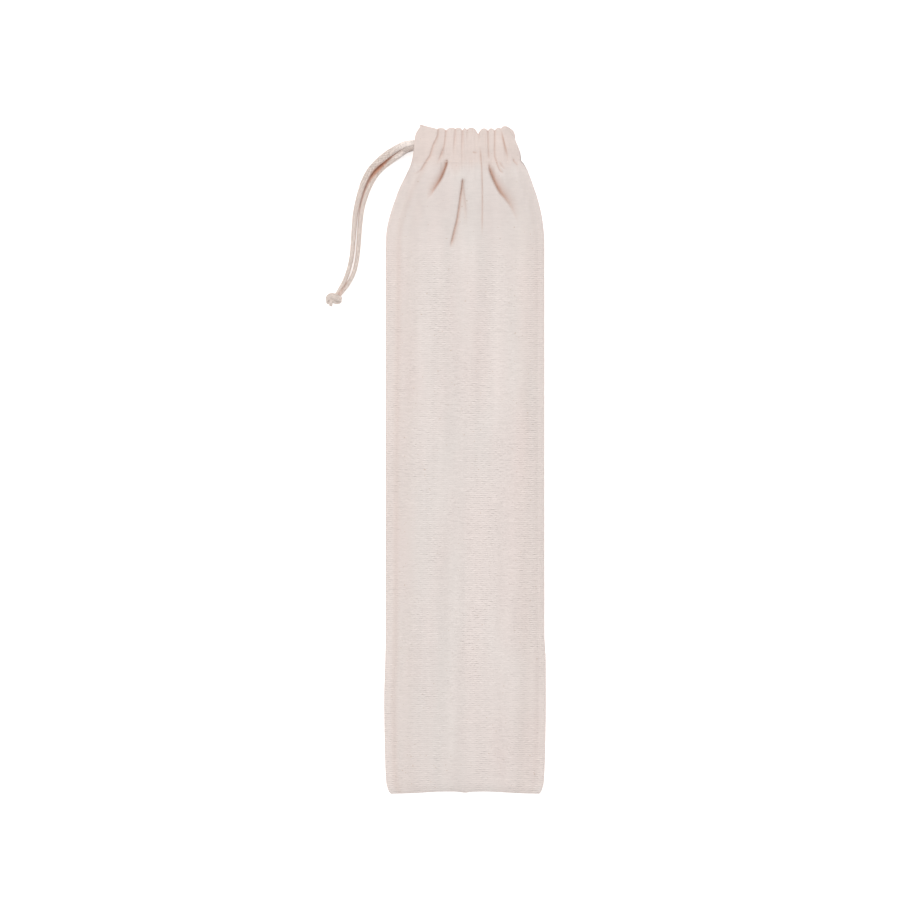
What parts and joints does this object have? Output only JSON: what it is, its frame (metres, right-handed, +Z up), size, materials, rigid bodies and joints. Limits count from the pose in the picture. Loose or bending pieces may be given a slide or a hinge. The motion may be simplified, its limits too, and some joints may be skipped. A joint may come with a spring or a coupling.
{
  "type": "drawstring pouch",
  "caption": "Long flat cotton pouch, gathered at the neck by a cord that runs through a sewn casing and ends in a knot.",
  "frame": {"origin": "centre of the pouch's base, on the surface it lies on, leaving out the free cord", "axes": "+Y from the closed bottom to the gathered neck, +X to the right seen from above, +Z up through the front panel"},
  "size_m": [0.09, 0.272, 0.0127],
  "materials": {
    "cotton_cloth": "plain weave, matte",
    "double_cloth": "plain weave, two layers, matte",
    "sewing_thread": "spun thread",
    "cotton_cord": "braided, matte"
  },
  "bodies": {
    "bag": {"front_panel": "cotton_cloth", "back_panel": "cotton_cloth", "left_seam_allowance": "double_cloth", "right_seam_allowance": "double_cloth", "left_side_stitching": "sewing_thread", "right_side_stitching": "sewing_thread", "front_casing": "double_cloth", "back_casing": "double_cloth", "front_casing_stitching": "sewing_thread", "back_casing_stitching": "sewing_thread"},
    "neck_left": {"left_front_casing_end": "double_cloth", "left_back_casing_end": "double_cloth"},
    "neck_right": {"right_casing_end": "double_cloth"},
    "drawstring": {"drawstring_loop": "cotton_cord", "outer_tail": "cotton_cord", "inner_tail": "cotton_cord", "cord_knot": "cotton_cord", "cord_ends": "cotton_cord"}
  },
  "joints": [
    {"name": "left_gather", "type": "slide", "parent": "bag", "child": "neck_left", "axis": [1, 0, 0], "range_m": [-0.0115, 0.014], "deforming": ["front_casing", "back_casing", "front_casing_stitching", "back_casing_stitching"]},
    {"name": "right_gather", "type": "slide", "parent": "bag", "child": "neck_right", "axis": [-1, 0, 0], "range_m": [-0.0115, 0.014]},
    {"name": "drawstring_pull", "type": "slide", "parent": "neck_left", "child": "drawstring", "axis": [-1, 0, 0], "range_m": [-0.023, 0.028], "deforming": ["outer_tail", "inner_tail"]}
  ],
  "couplings": [
    {"joint": "left_gather", "follows": "drawstring_pull", "ratio": 0.5},
    {"joint": "right_gather", "follows": "drawstring_pull", "ratio": 0.5}
  ]
}
